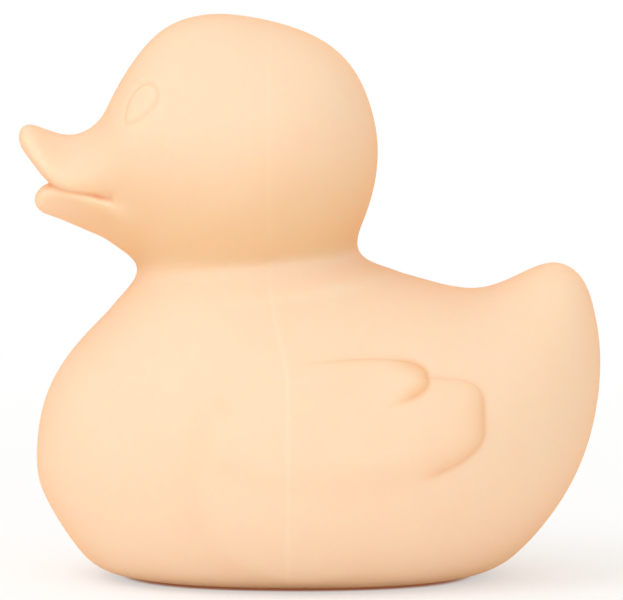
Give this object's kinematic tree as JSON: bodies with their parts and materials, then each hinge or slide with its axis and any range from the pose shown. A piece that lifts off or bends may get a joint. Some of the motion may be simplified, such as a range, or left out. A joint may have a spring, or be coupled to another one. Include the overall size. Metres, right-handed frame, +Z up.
{
  "type": "duck teether",
  "caption": "Soft moulded duck for a baby to hold and chew, with a flat base, upturned tail, low-relief wings and a parted bill.",
  "frame": {"origin": "middle of the duck's box, on the plane that its flat base rests on", "axes": "the duck looks along -X, +Y is its right side, +Z is up"},
  "size_m": [0.0968, 0.0752, 0.0936],
  "materials": {
    "rubber": "matte, smooth, undyed pale peach natural rubber"
  },
  "bodies": {
    "root": {"duck_body": "rubber"}
  },
  "joints": []
}
